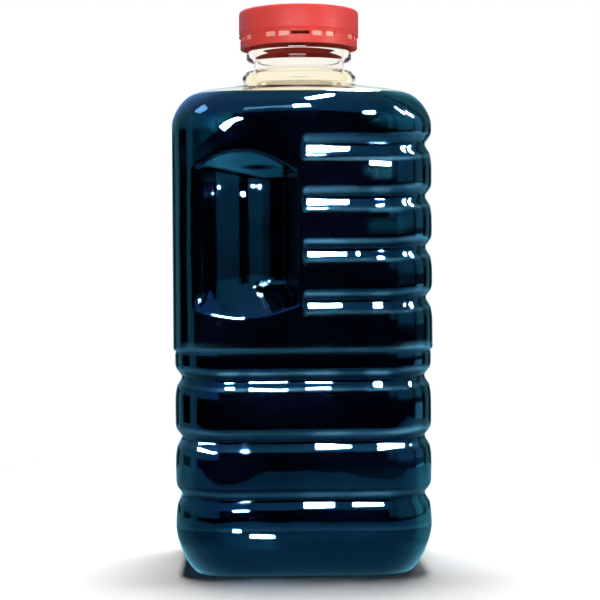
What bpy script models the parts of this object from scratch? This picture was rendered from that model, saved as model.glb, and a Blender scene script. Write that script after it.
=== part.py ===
"""Square clear bottle with a side grip and ribs, its red screw cap, and the pomegranate molasses in it.

Metres, +Z up. The origin is at the centre of the underside. The grip is at the back, towards -X,
and opens on both side faces, -Y and +Y. The ribs run round the front, towards +X.
"""

import math

import bmesh
import bpy
from mathutils import Matrix, Vector

MM = 0.001

# Body: half widths of the square section above and below the waist step, and its upright corners.
UPPER_HALF = 53.6 * MM
LOWER_HALF = 52.9 * MM
CORNER_RADIUS = 20.0 * MM
WALL = 0.9 * MM
FILL_GAP = 0.3 * MM
CORNER_STEPS = 5
FRONT_STEPS = 4

# Foot: a flat ring to stand on, a heel that rounds up to the wall, and a raised middle.
HEEL_TOP = 19.5 * MM
FOOT_OUTER = 43.5 * MM
FOOT_INNER = 37.0 * MM
FOOT_CORNER = 15.0 * MM
RAISED_HALF = 26.0 * MM
RAISED_EDGE = 4.0 * MM
RAISED_MIDDLE = 6.0 * MM
HEEL_STEPS = 4
HEEL_FOOT_OUT = 0.35

# Grooves pressed into the wall, as height of the middle on the side faces. On the front and the
# back faces the grooves are narrower and sit a little higher.
RIB_GROOVES = (175.4 * MM, 153.9 * MM, 132.9 * MM, 112.2 * MM)
RING_GROOVES = (80.0 * MM, 55.1 * MM, 31.5 * MM)
GROOVE_HEIGHT = 9.2 * MM
GROOVE_DEPTH = 2.6 * MM
UPPER_BEVEL = 3.3 * MM
LOWER_BEVEL = 3.2 * MM
TOP_EDGE_LIFT = 0.8 * MM
LOW_EDGE_LIFT = 2.3 * MM
RIB_START = -0.9 * MM
RIB_FULL = 2.0 * MM

# Waist: a thin groove at the step from the upper half to the lower half.
WAIST_TOP = 93.5 * MM
WAIST_BOTTOM = 91.2 * MM
WAIST_DEPTH = 0.5 * MM

# Grip pocket, one on each side face. Its floor steps down towards the ribs in upright flutes, as
# places along X with their depth. The ceiling slopes in to the floor from an arch, and so does the
# ledge below. Each meets the floor along an inner line, as places along X with their height.
POCKET_BACK = -44.5 * MM
POCKET_FRONT = -2.2 * MM
POCKET_WALL_RUN = 5.0 * MM
POCKET_FLOOR = (
    (-44.5 * MM, 0.0),
    (-41.0 * MM, 3.4 * MM),
    (-35.0 * MM, 4.2 * MM),
    (-26.3 * MM, 9.4 * MM),
    (-22.0 * MM, 9.8 * MM),
    (-17.6 * MM, 12.0 * MM),
    (-12.5 * MM, 13.4 * MM),
    (-2.2 * MM, 13.8 * MM),
)
POCKET_TOP = 173.6 * MM
POCKET_BOTTOM = 105.6 * MM
POCKET_ARCH = 10.5 * MM
POCKET_ARCH_MIDDLE = -25.0 * MM
POCKET_ARCH_RUN = 23.8 * MM
LEDGE_ARCH = 0.55
CEILING_INNER = (
    (-44.5 * MM, 168.6 * MM),
    (-32.8 * MM, 167.0 * MM),
    (-15.6 * MM, 163.9 * MM),
    (-2.2 * MM, 164.3 * MM),
)
LEDGE_INNER = (
    (-44.5 * MM, 112.0 * MM),
    (-40.0 * MM, 114.0 * MM),
    (-30.0 * MM, 118.3 * MM),
    (-20.0 * MM, 120.7 * MM),
    (-2.2 * MM, 120.0 * MM),
)
CEILING_LEAST_RUN = 1.2 * MM
POCKET_FILLET = 2.0 * MM
SIDE_COLUMNS = (23.0, 12.5, 2.0, -0.9, -2.2, -4.4, -6.8, -9.6, -12.5, -17.6, -22.0, -26.3, -30.5)
KEPT_ON_NECK = (23.0, 12.5, 2.0, -9.6, -22.0)
POCKET_ROWS = (173.6, 169.2, 165.0, 161.0, 144.0, 125.5, 119.5, 112.5, 105.6)

# The rows of points bend along the pocket's lines, fully between two places along X: the heights
# of the straight rows that follow the ledge's foot and inner line, the ceiling's inner line and
# the arch, between two rows that stay straight.
BEND_FULL = (-41.0 * MM, -2.2 * MM)
BEND_GONE = (-51.0 * MM, -0.9 * MM)
STRAIGHT_BELOW = 97.0 * MM
STRAIGHT_ABOVE = 182.0 * MM
LEDGE_ROW = 119.5 * MM
CEILING_ROW = 165.0 * MM

# Shoulder: a rounded edge, then a low cone up to the collar.
SHOULDER_START = 184.6 * MM
SHOULDER_RADIUS = 17.0 * MM
SHOULDER_SWEEP = math.radians(76.8)
SHOULDER_STEPS = 6
ROUNDING_START = 197.6 * MM
COLLAR_FOOT_RADIUS = 23.2 * MM
COLLAR_FOOT = 205.2 * MM
LIQUID_LEVEL = 198.0 * MM

# Neck, from the foot of the collar up: the collar's bulge, the waist, the ring and the finish.
COLLAR_RADIUS = 24.4 * MM
COLLAR_MIDDLE = 208.1 * MM
COLLAR_ROUND = 2.9 * MM
COLLAR_START = math.radians(-50.0)
COLLAR_STEPS = 4
NECK_RADIUS = 19.3 * MM
NECK_STEP = 0.4 * MM
RING_RADIUS = 22.6 * MM
RING_BOTTOM = 215.9 * MM
RING_TOP = 219.3 * MM
RING_ROUND = 0.7 * MM
FINISH_RADIUS = 22.0 * MM
BEAD_RADIUS = 23.4 * MM
BEAD_BOTTOM = 222.2 * MM
BEAD_TOP = 225.0 * MM
BEAD_UNDERCUT = 0.6 * MM
LIP_TOP = 235.2 * MM
LIP_ROUND = 0.5 * MM
NECK_WALL = 1.5 * MM
FINISH_WALL = 1.9 * MM

# Screw thread: a round rib on the neck, and one in the cap half a turn's rise above it.
THREAD_PITCH = 4.2 * MM
THREAD_ROUND = 1.1 * MM
NECK_THREAD_START = 227.4 * MM
NECK_THREAD_TURNS = 1.25
NECK_THREAD_OUT = 0.2 * MM
CAP_THREAD_TURNS = 1.05
CAP_THREAD_OUT = 0.1 * MM
THREAD_POINTS_PER_TURN = 24

# Cap: the skirt, and below a notch the tamper band, joined by the bars between its windows.
CAP_RADIUS = 25.75 * MM
CAP_TOP = 237.0 * MM
CAP_TOP_THICKNESS = 1.5 * MM
CAP_EDGE = 1.0 * MM
CAP_INNER_RADIUS = 24.1 * MM
NOTCH_Z = 226.1 * MM
NOTCH_DEPTH = 0.5 * MM
NOTCH_HALF = 0.5 * MM
BAND_SHOULDER = 225.0 * MM
BAND_RADIUS = 25.2 * MM
BAND_BOTTOM = 219.8 * MM
BAND_INNER_RADIUS = 23.9 * MM
CAP_STEPS = 40
WINDOW_ANGLES = (-30.5, -16.5, 16.5, 30.5)
WINDOW_WIDTH = 4.2 * MM
WINDOW_HEIGHT = 1.8 * MM
WINDOW_Z = 224.0 * MM
SLIT_HALF_ANGLE = 9.0
SLIT_HEIGHT = 0.6 * MM
SLIT_Z = 224.4 * MM
QUADRANTS = 4

for old in list(bpy.data.objects):
    bpy.data.objects.remove(old, do_unlink=True)


def new_collection(name):
    collection = bpy.data.collections.new(name)
    bpy.context.scene.collection.children.link(collection)
    return collection


parts = new_collection("pomegranate_molasses_bottle")
cutters = new_collection("cutters")


def new_material(name, colour, roughness, transmission=0.0):
    """A Principled material with the part's colour as linear RGB."""
    material = bpy.data.materials.new(name)
    material.use_nodes = True
    shader = material.node_tree.nodes["Principled BSDF"]
    shader.inputs["Base Color"].default_value = (*colour, 1.0)
    shader.inputs["Roughness"].default_value = roughness
    shader.inputs["Metallic"].default_value = 0.0
    shader.inputs["Transmission Weight"].default_value = transmission
    material.diffuse_color = (*colour, 1.0)
    return material


def smooth(value):
    """Rises from 0 to 1 with level ends, for a value from 0 to 1."""
    value = min(1.0, max(0.0, value))
    return value * value * (3.0 - 2.0 * value)


def soft_min(first, second, blend):
    """The smaller of two values, with a fillet of about the size of blend where they meet."""
    overlap = max(blend - abs(first - second), 0.0) / blend
    return min(first, second) - overlap * overlap * blend / 4.0


class Column:
    """One upright line of points round the bottle.

    centre is where the corner's centre or the flat's foot lies, as a share of the flat's half
    width, normal points straight out of the wall, and around is the direction from the axis that
    the column takes on the round neck. On the neck only the columns with on_neck stay apart.
    """

    def __init__(self, centre, normal, on_neck):
        self.centre = centre
        self.normal = normal
        self.on_neck = on_neck
        self.around = None

    def on_side(self):
        """0 on the side faces, 1 on the front and back faces, and between them on a corner."""
        return smooth(math.asin(min(1.0, abs(self.normal[0]))) / (math.pi / 2.0))


def half_columns():
    """The columns from the middle of the front face, past the -Y side, to that of the back."""
    flat = UPPER_HALF - CORNER_RADIUS
    front = [
        Column((1.0, -step / (FRONT_STEPS / 2)), (1.0, 0.0), True)
        for step in range(FRONT_STEPS // 2)
    ]
    side = [Column((x * MM / flat, -1.0), (0.0, -1.0), x in KEPT_ON_NECK) for x in SIDE_COLUMNS]
    back = [
        Column((-1.0, step / (FRONT_STEPS / 2) - 1.0), (-1.0, 0.0), True)
        for step in range(1, FRONT_STEPS // 2 + 1)
    ]
    return front + corner_columns(1.0, 0.0) + side + corner_columns(-1.0, 90.0) + back


def corner_columns(front, first_angle):
    """The columns of one upright corner on the -Y side, through a quarter turn."""
    found = []
    for step in range(CORNER_STEPS + 1):
        angle = math.radians(first_angle + 90.0 * step / CORNER_STEPS)
        on_neck = step in (0, (CORNER_STEPS + 1) // 2, CORNER_STEPS)
        found.append(Column((front, -1.0), (math.cos(angle), -math.sin(angle)), on_neck))
    return found


def all_columns():
    """The half above, and its mirror image across the plane Y = 0."""
    half = half_columns()
    mirrored = [
        Column((c.centre[0], -c.centre[1]), (c.normal[0], -c.normal[1]), c.on_neck)
        for c in reversed(half[1:-1])
    ]
    columns = half + mirrored
    kept = [column for column in columns if column.on_neck]
    for place, column in enumerate(kept):
        angle = -2.0 * math.pi * place / len(kept)
        column.around = (math.cos(angle), math.sin(angle))
    following = columns[0].around
    for column in reversed(columns):
        if column.on_neck:
            following = column.around
        else:
            column.around = following
    return columns


def along(pairs, place):
    """Reads a value between the two pairs that the place lies between."""
    for (start, low), (end, high) in zip(pairs, pairs[1:]):
        if start <= place <= end:
            return low + (high - low) * (place - start) / (end - start)
    return 0.0


def pocket_arch(x):
    """How far the pocket's ceiling comes down at this place, below its highest point."""
    return POCKET_ARCH * ((x - POCKET_ARCH_MIDDLE) / POCKET_ARCH_RUN) ** 2


def pocket_lines(x):
    """Heights at one place: ledge foot, ledge inner line, ceiling inner line and top arch."""
    foot = POCKET_BOTTOM + pocket_arch(x) * LEDGE_ARCH
    top = POCKET_TOP - pocket_arch(x)
    ceiling = min(along(CEILING_INNER, x), top - CEILING_LEAST_RUN)
    return foot, along(LEDGE_INNER, x), ceiling, top


def row_bend(x, z):
    """How far a row moves up, so that the rows run along the pocket's lines."""
    inside = smooth((x - BEND_GONE[0]) / (BEND_FULL[0] - BEND_GONE[0]))
    inside *= smooth((BEND_GONE[1] - x) / (BEND_GONE[1] - BEND_FULL[1]))
    foot, ledge, ceiling, top = pocket_lines(min(POCKET_FRONT, max(POCKET_BACK, x)))
    rows = (
        (STRAIGHT_BELOW, STRAIGHT_BELOW),
        (POCKET_BOTTOM, foot),
        (LEDGE_ROW, ledge),
        (CEILING_ROW, ceiling),
        (POCKET_TOP, top),
        (STRAIGHT_ABOVE, STRAIGHT_ABOVE),
    )
    if not STRAIGHT_BELOW < z < STRAIGHT_ABOVE:
        return 0.0
    return (along(rows, z) - z) * inside


def pocket_depth(x, z):
    """How far the grip pocket sinks the side wall at this place."""
    if not POCKET_BACK < x < POCKET_FRONT:
        return 0.0
    foot, ledge, ceiling, top = pocket_lines(x)
    floor = along(POCKET_FLOOR, x)
    front_wall = (POCKET_FRONT - x) * POCKET_FLOOR[-1][1] / POCKET_WALL_RUN
    depth = soft_min(floor, front_wall, POCKET_FILLET)
    depth = soft_min(depth, floor * (top - z) / (top - ceiling), POCKET_FILLET)
    depth = soft_min(depth, floor * (z - foot) / (ledge - foot), POCKET_FILLET)
    return max(0.0, depth)


class Ring:
    """One row of points round the bottle.

    half and z are where the flat walls are, corner is the radius of the corners, and out and up
    are the outline's normal there, along which the inside and the fill are set in. turned is how
    far the section has gone from the square to the circle, press how far a groove sinks the wall,
    and lift how much higher it runs on the front and back faces.
    """

    def __init__(self, half, z, corner=CORNER_RADIUS, out=1.0, up=0.0):
        self.half = half
        self.z = z
        self.corner = corner
        self.out = out
        self.up = up
        self.turned = smooth((z - ROUNDING_START) / (COLLAR_FOOT - ROUNDING_START))
        self.press = 0.0
        self.lift = 0.0
        self.front_only = False

    def point(self, column, inset):
        """The outside point, moved in by inset along the normal, so that each shell keeps clear."""
        flat = self.half - self.corner
        place = Vector(column.centre) * flat + Vector(column.normal) * self.corner
        z = self.z + self.lift * column.on_side()
        press = self.press
        if self.front_only:
            press *= min(1.0, max(0.0, (place.x - RIB_START) / (RIB_FULL - RIB_START)))
        if column.normal[1] != 0.0 and WAIST_TOP < z < SHOULDER_START:
            z += row_bend(place.x, z)
            press += pocket_depth(place.x, z) * abs(column.normal[1])
        place -= Vector(column.normal) * press
        place = place.lerp(Vector(column.around) * self.half, self.turned)
        facing = Vector(column.normal).lerp(Vector(column.around), self.turned).normalized()
        place -= facing * inset * self.out
        return Vector((place.x, place.y, z - inset * self.up))


def groove_rings(middle, half, front_only):
    """The four rows of one groove: its lower edge, the two of its bottom, and its upper edge."""
    low = middle - GROOVE_HEIGHT / 2.0
    high = middle + GROOVE_HEIGHT / 2.0
    rows = (
        (low, 0.0, LOW_EDGE_LIFT),
        (low + LOWER_BEVEL, GROOVE_DEPTH, LOW_EDGE_LIFT),
        (high - UPPER_BEVEL, GROOVE_DEPTH, TOP_EDGE_LIFT),
        (high, 0.0, TOP_EDGE_LIFT),
    )
    found = []
    for z, press, lift in rows:
        ring = Ring(half, z)
        ring.press = press
        ring.lift = lift
        ring.front_only = front_only
        found.append(ring)
    return found


def foot_rings():
    """The underside and the heel, from the raised middle outwards and up."""
    found = [
        Ring(RAISED_HALF, RAISED_EDGE, FOOT_CORNER, 0.0, -1.0),
        Ring(FOOT_INNER, 0.0, FOOT_CORNER, 0.0, -1.0),
        Ring(FOOT_OUTER, 0.0, FOOT_CORNER, HEEL_FOOT_OUT, -1.0),
    ]
    across = LOWER_HALF - FOOT_OUTER
    for step in range(1, HEEL_STEPS + 1):
        angle = step / HEEL_STEPS * math.pi / 2.0
        half = FOOT_OUTER + across * math.sin(angle)
        z = HEEL_TOP * (1.0 - math.cos(angle))
        corner = FOOT_CORNER + (CORNER_RADIUS - FOOT_CORNER) * math.sin(angle)
        found.append(Ring(half, z, corner, math.sin(angle) ** 0.5, -math.cos(angle)))
    return found


def body_rings():
    """The upright wall, with its grooves and the extra rows that the pocket needs."""
    found = []
    for middle in RING_GROOVES:
        found += groove_rings(middle, LOWER_HALF, False)
    for z, half, press in (
        (WAIST_BOTTOM, LOWER_HALF, 0.0),
        (WAIST_BOTTOM + 0.5 * MM, LOWER_HALF, WAIST_DEPTH),
        (WAIST_TOP, UPPER_HALF, 0.0),
    ):
        ring = Ring(half, z)
        ring.press = press
        found.append(ring)
    for middle in RIB_GROOVES:
        found += groove_rings(middle, UPPER_HALF, True)
    grooves = [(m - GROOVE_HEIGHT / 2.0, m + GROOVE_HEIGHT / 2.0) for m in RIB_GROOVES]
    for z in POCKET_ROWS:
        ring = Ring(UPPER_HALF, z * MM)
        for low, high in grooves:
            if low < z * MM < high:
                below = (z * MM - low) / LOWER_BEVEL
                above = (high - z * MM) / UPPER_BEVEL
                ring.press = GROOVE_DEPTH * min(1.0, below, above)
                ring.lift = LOW_EDGE_LIFT + (TOP_EDGE_LIFT - LOW_EDGE_LIFT) * smooth(below / 2.0)
                ring.front_only = True
        found.append(ring)
    return sorted(found, key=lambda ring: ring.z)


def shoulder_rings():
    """The rounded edge and the cone, over which the square section turns into the round neck."""
    found = []
    centre = UPPER_HALF - SHOULDER_RADIUS
    for step in range(SHOULDER_STEPS + 1):
        angle = SHOULDER_SWEEP * step / SHOULDER_STEPS
        half = centre + SHOULDER_RADIUS * math.cos(angle)
        z = SHOULDER_START + SHOULDER_RADIUS * math.sin(angle)
        found.append(Ring(half, z, CORNER_RADIUS, math.cos(angle), math.sin(angle)))
    last = found[-1]
    for share in (0.25, 0.5, 0.75):
        half = last.half + (COLLAR_FOOT_RADIUS - last.half) * share
        z = last.z + (COLLAR_FOOT - last.z) * share
        found.append(Ring(half, z, CORNER_RADIUS, last.out, last.up))
    return found


def neck_outline():
    """Radius and height of the outside of the neck, from the collar's foot to the lip."""
    outline = [(COLLAR_FOOT_RADIUS, COLLAR_FOOT)]
    for step in range(COLLAR_STEPS + 1):
        angle = COLLAR_START + (math.pi / 2.0 - COLLAR_START) * step / COLLAR_STEPS
        radius = COLLAR_RADIUS - COLLAR_ROUND * (1.0 - math.cos(angle))
        outline.append((radius, COLLAR_MIDDLE + COLLAR_ROUND * math.sin(angle)))
    return outline + [
        (NECK_RADIUS, COLLAR_MIDDLE + COLLAR_ROUND + NECK_STEP),
        (NECK_RADIUS, RING_BOTTOM - NECK_STEP),
        (RING_RADIUS - RING_ROUND, RING_BOTTOM),
        (RING_RADIUS, RING_BOTTOM + RING_ROUND),
        (RING_RADIUS, RING_TOP - RING_ROUND),
        (RING_RADIUS - RING_ROUND, RING_TOP),
        (FINISH_RADIUS, RING_TOP + NECK_STEP),
        (FINISH_RADIUS, BEAD_BOTTOM),
        (BEAD_RADIUS, BEAD_BOTTOM + BEAD_UNDERCUT),
        (FINISH_RADIUS, BEAD_TOP),
        (FINISH_RADIUS, LIP_TOP - LIP_ROUND),
        (FINISH_RADIUS - LIP_ROUND, LIP_TOP),
    ]


def bore_outline():
    """Radius and height of the inside of the neck, from the lip down to the collar's foot."""
    bore = NECK_RADIUS - NECK_WALL
    return [
        (FINISH_RADIUS - FINISH_WALL, LIP_TOP),
        (FINISH_RADIUS - FINISH_WALL, RING_TOP),
        (bore, RING_BOTTOM - 1.0 * MM),
        (bore, COLLAR_MIDDLE + COLLAR_ROUND + NECK_STEP),
        (COLLAR_RADIUS - 2.0 * NECK_WALL, COLLAR_MIDDLE + 1.2 * MM),
        (COLLAR_RADIUS - 1.6 * NECK_WALL, COLLAR_MIDDLE - 1.0 * MM),
    ]


columns = all_columns()
wall_rings = foot_rings() + body_rings() + shoulder_rings()


class Loft:
    """A mesh laid between rows of points. Each quad is split the same way in every loft, so that
    the outside, the inside and the fill keep their distance also where the wall is twisted."""

    def __init__(self):
        self.mesh = bmesh.new()
        self.last = None

    def add_row(self, points):
        row = []
        for place, point in enumerate(points):
            if place and (point - points[place - 1]).length < 1e-7:
                row.append(row[-1])
            else:
                row.append(self.mesh.verts.new(point))
        if (points[0] - points[-1]).length < 1e-7:
            row = [row[0] if vert is row[-1] else vert for vert in row]
        return row

    def add_face(self, corners):
        if len(set(corners)) == len(corners):
            self.mesh.faces.new(corners)

    def join(self, row, following, going_up):
        """Lays triangles between two rows. The outside goes up from row to row, the inside down."""
        for place in range(len(row)):
            after = (place + 1) % len(row)
            if going_up:
                self.add_face((row[after], row[place], following[place]))
                self.add_face((row[after], following[place], following[after]))
            else:
                self.add_face((row[after], row[place], following[after]))
                self.add_face((row[place], following[place], following[after]))

    def fan(self, row, middle, facing_up):
        hub = self.mesh.verts.new(middle)
        for place in range(len(row)):
            after = (place + 1) % len(row)
            if facing_up:
                self.add_face((row[after], row[place], hub))
            else:
                self.add_face((row[place], row[after], hub))

    def to_object(self, name, material):
        """Flat stretches become single faces, and the result is shaded smooth but for its edges."""
        self.mesh.normal_update()
        bmesh.ops.dissolve_limit(
            self.mesh,
            angle_limit=math.radians(0.1),
            verts=self.mesh.verts[:],
            edges=self.mesh.edges[:],
        )
        data = bpy.data.meshes.new(name)
        self.mesh.to_mesh(data)
        self.mesh.free()
        data.shade_smooth()
        data.set_sharp_from_angle(angle=math.radians(40.0))
        data.materials.append(material)
        found = bpy.data.objects.new(name, data)
        parts.objects.link(found)
        return found


def wall_points(ring, inset):
    return [ring.point(column, inset) for column in columns]


def neck_points(radius, z):
    return [Vector((radius * c.around[0], radius * c.around[1], z)) for c in columns]


def helix_rib(name, radius, start, turns):
    """A round rib along a helix, as a mesh, with its ends run into the wall it is joined to."""
    count = int(turns * THREAD_POINTS_PER_TURN) + 1
    curve = bpy.data.curves.new(name, "CURVE")
    curve.dimensions = "3D"
    curve.bevel_depth = THREAD_ROUND
    curve.bevel_resolution = 2
    curve.use_fill_caps = True
    spline = curve.splines.new("POLY")
    spline.points.add(count - 1)
    for place, spot in enumerate(spline.points):
        turn = place / THREAD_POINTS_PER_TURN
        angle = 2.0 * math.pi * turn
        rise = start + THREAD_PITCH * turn
        spot.co = (radius * math.cos(angle), radius * math.sin(angle), rise, 1.0)
    wire = bpy.data.objects.new(name + "_curve", curve)
    cutters.objects.link(wire)
    bpy.context.view_layer.update()
    graph = bpy.context.evaluated_depsgraph_get()
    data = bpy.data.meshes.new_from_object(wire.evaluated_get(graph))
    bpy.data.objects.remove(wire, do_unlink=True)
    work = bmesh.new()
    work.from_mesh(data)
    bmesh.ops.remove_doubles(work, verts=work.verts[:], dist=0.00001)
    bmesh.ops.recalc_face_normals(work, faces=work.faces[:])
    work.to_mesh(data)
    work.free()
    found = bpy.data.objects.new(name, data)
    found.hide_render = True
    found.display_type = "WIRE"
    cutters.objects.link(found)
    return found


def join_or_cut(target, other, operation):
    modifier = target.modifiers.new(other.name, "BOOLEAN")
    modifier.operation = operation
    modifier.solver = "EXACT"
    modifier.object = other


def make_bottle():
    """The clear shell: outside from the underside up to the lip, and back down the inside."""
    loft = Loft()
    rows = [loft.add_row(wall_points(ring, 0.0)) for ring in wall_rings]
    rows += [loft.add_row(neck_points(*place)) for place in neck_outline()]
    lip = len(rows)
    rows += [loft.add_row(neck_points(*place)) for place in bore_outline()]
    rows += [loft.add_row(wall_points(ring, WALL)) for ring in reversed(wall_rings)]
    for place, (row, following) in enumerate(zip(rows, rows[1:])):
        loft.join(row, following, place < lip)
    loft.fan(rows[0], Vector((0.0, 0.0, RAISED_MIDDLE)), False)
    loft.fan(rows[-1], Vector((0.0, 0.0, RAISED_MIDDLE + WALL)), True)
    clear = new_material("clear_plastic", (0.95, 0.93, 0.84), 0.04, 1.0)
    bottle = loft.to_object("bottle", clear)
    middle = FINISH_RADIUS + NECK_THREAD_OUT
    thread = helix_rib("neck_thread", middle, NECK_THREAD_START, NECK_THREAD_TURNS)
    join_or_cut(bottle, thread, "UNION")
    return bottle


def make_molasses():
    """The fill, clear of the wall all round, up to its level in the shoulder."""
    inset = WALL + FILL_GAP
    loft = Loft()
    below = []
    for ring in wall_rings:
        points = wall_points(ring, inset)
        if max(point.z for point in points) > LIQUID_LEVEL:
            above = points
            break
        below.append(points)
    share = [
        (LIQUID_LEVEL - low.z) / (high.z - low.z) for low, high in zip(below[-1], above)
    ]
    top = [low.lerp(high, part) for low, high, part in zip(below[-1], above, share)]
    rows = [loft.add_row(points) for points in below + [top]]
    for row, following in zip(rows, rows[1:]):
        loft.join(row, following, True)
    loft.fan(rows[0], Vector((0.0, 0.0, RAISED_MIDDLE + inset)), False)
    loft.fan(rows[-1], Vector((0.0, 0.0, LIQUID_LEVEL)), True)
    dark = new_material("dark_molasses", (0.0005, 0.0015, 0.007), 0.08)
    return loft.to_object("molasses", dark)


def cap_outline():
    """Radius and height of the cap, from the middle of its top, down outside and up inside."""
    inner_top = CAP_TOP - CAP_TOP_THICKNESS
    return [
        (0.0, CAP_TOP),
        (CAP_RADIUS - CAP_EDGE, CAP_TOP),
        (CAP_RADIUS - CAP_EDGE * 0.29, CAP_TOP - CAP_EDGE * 0.29),
        (CAP_RADIUS, CAP_TOP - CAP_EDGE),
        (CAP_RADIUS, NOTCH_Z + NOTCH_HALF),
        (CAP_RADIUS - NOTCH_DEPTH, NOTCH_Z),
        (CAP_RADIUS, NOTCH_Z - NOTCH_HALF),
        (CAP_RADIUS, BAND_SHOULDER + 0.2 * MM),
        (BAND_RADIUS, BAND_SHOULDER - 0.3 * MM),
        (BAND_RADIUS, BAND_BOTTOM + 0.3 * MM),
        (BAND_RADIUS - 0.3 * MM, BAND_BOTTOM),
        (BAND_INNER_RADIUS, BAND_BOTTOM),
        (BAND_INNER_RADIUS, BAND_SHOULDER),
        (CAP_INNER_RADIUS, NOTCH_Z),
        (CAP_INNER_RADIUS, inner_top),
        (0.0, inner_top),
    ]


def window_cutters():
    """Every window and slit of the tamper band as one mesh of separate blocks."""
    work = bmesh.new()
    reach = 3.0 * (BAND_RADIUS - BAND_INNER_RADIUS)
    middle = (BAND_RADIUS + BAND_INNER_RADIUS) / 2.0
    for quadrant in range(QUADRANTS):
        front = -90.0 + 360.0 / QUADRANTS * quadrant
        for offset in WINDOW_ANGLES:
            turn = Matrix.Rotation(math.radians(front + offset), 4, "Z")
            place = turn @ Matrix.Translation((middle, 0.0, WINDOW_Z))
            size = Matrix.Diagonal((reach, WINDOW_WIDTH, WINDOW_HEIGHT, 1.0))
            bmesh.ops.create_cube(work, size=1.0, matrix=place @ size)
        width = 2.0 * BAND_RADIUS * math.tan(math.radians(SLIT_HALF_ANGLE))
        turn = Matrix.Rotation(math.radians(front), 4, "Z")
        place = turn @ Matrix.Translation((middle, 0.0, SLIT_Z))
        size = Matrix.Diagonal((reach, width, SLIT_HEIGHT, 1.0))
        bmesh.ops.create_cube(work, size=1.0, matrix=place @ size)
    data = bpy.data.meshes.new("band_windows")
    work.to_mesh(data)
    work.free()
    found = bpy.data.objects.new("band_windows", data)
    found.hide_render = True
    found.display_type = "WIRE"
    cutters.objects.link(found)
    return found


def make_cap():
    """The screw cap with its tamper band, turned from one outline, then threaded and cut."""
    outline = cap_outline()
    data = bpy.data.meshes.new("cap")
    edges = [(place, place + 1) for place in range(len(outline) - 1)]
    data.from_pydata([(radius, 0.0, z) for radius, z in outline], edges, [])
    cap = bpy.data.objects.new("cap", data)
    parts.objects.link(cap)
    turn = cap.modifiers.new("turned", "SCREW")
    turn.axis = "Z"
    turn.steps = CAP_STEPS
    turn.render_steps = CAP_STEPS
    turn.use_merge_vertices = True
    turn.merge_threshold = 0.00001
    turn.use_smooth_shade = True
    data.materials.append(new_material("red_cap", (0.78, 0.085, 0.075), 0.32))
    start = NECK_THREAD_START + THREAD_PITCH / 2.0
    thread = helix_rib("cap_thread", CAP_INNER_RADIUS + CAP_THREAD_OUT, start, CAP_THREAD_TURNS)
    join_or_cut(cap, thread, "UNION")
    join_or_cut(cap, window_cutters(), "DIFFERENCE")
    return cap


make_bottle()
make_molasses()
make_cap()
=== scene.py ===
import math

import bmesh
import bpy
import numpy as np
from mathutils import Matrix, Quaternion, Vector


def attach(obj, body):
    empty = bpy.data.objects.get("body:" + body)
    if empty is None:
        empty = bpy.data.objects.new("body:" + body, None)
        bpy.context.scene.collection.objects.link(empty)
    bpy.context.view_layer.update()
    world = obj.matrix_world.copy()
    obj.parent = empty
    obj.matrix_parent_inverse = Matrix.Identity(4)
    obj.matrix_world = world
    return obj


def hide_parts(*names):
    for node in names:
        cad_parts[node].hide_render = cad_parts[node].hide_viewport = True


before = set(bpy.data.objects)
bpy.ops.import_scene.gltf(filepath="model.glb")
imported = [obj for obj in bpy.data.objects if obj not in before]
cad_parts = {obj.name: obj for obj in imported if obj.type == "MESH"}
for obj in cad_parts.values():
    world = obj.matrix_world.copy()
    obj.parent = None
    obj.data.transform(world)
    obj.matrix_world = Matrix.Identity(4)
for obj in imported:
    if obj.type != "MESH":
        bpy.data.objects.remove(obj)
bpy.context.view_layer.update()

MM = 0.001

# Camera. The photo's viewpoint: 778 mm from the bottle's axis, 22 mm to the left of it, at half
# the bottle's height, with a long lens and a hint of roll.
view = bpy.data.cameras.new("camera")
view.sensor_width = 36.0
view.lens = 108.0
eye = bpy.data.objects.new("camera", view)
stand = Matrix.Translation((-0.022, -0.778, 0.117))
pan = Matrix.Rotation(math.radians(-1.604), 4, "Z")
tilt = Matrix.Rotation(math.radians(90.0 - 0.318), 4, "X")
roll = Matrix.Rotation(math.radians(-0.40), 4, "Z")
eye.matrix_world = stand @ (pan @ tilt) @ roll
bpy.context.scene.collection.objects.link(eye)
bpy.context.scene.camera = eye
bpy.context.scene.view_settings.view_transform = "Standard"

# Stage. A small white table with a white surround. Reflections see a dark room instead, with soft
# bright sides and a bright ceiling. A key lamp above and behind gives the shadow at the foot, two
# soft lamps light the cap, and small lamps close to the wall give the glints.
TABLE_FRONT, TABLE_BACK, TABLE_SIDE = -0.49, 0.4, 0.7
table_outline = [
    (-TABLE_SIDE, -0.37, 0.0),
    (-0.07, -0.38, 0.0),
    (0.02, TABLE_FRONT, 0.0),
    (TABLE_SIDE, TABLE_FRONT, 0.0),
    (TABLE_SIDE, TABLE_BACK, 0.0),
    (-TABLE_SIDE, TABLE_BACK, 0.0),
]
table_data = bpy.data.meshes.new("table")
table_data.from_pydata(table_outline, [], [tuple(range(len(table_outline)))])
table = bpy.data.objects.new("table", table_data)
bpy.context.scene.collection.objects.link(table)
white = bpy.data.materials.new("table_white")
white.use_nodes = True
white_shader = white.node_tree.nodes["Principled BSDF"]
white_shader.inputs["Base Color"].default_value = (0.94, 0.93, 0.91, 1.0)
white_shader.inputs["Roughness"].default_value = 0.9
white_shader.inputs["Specular IOR Level"].default_value = 0.0
table_data.materials.append(white)

world = bpy.data.worlds.new("surround")
world.use_nodes = True
bpy.context.scene.world = world
nodes, links = world.node_tree.nodes, world.node_tree.links
nodes.clear()


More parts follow.
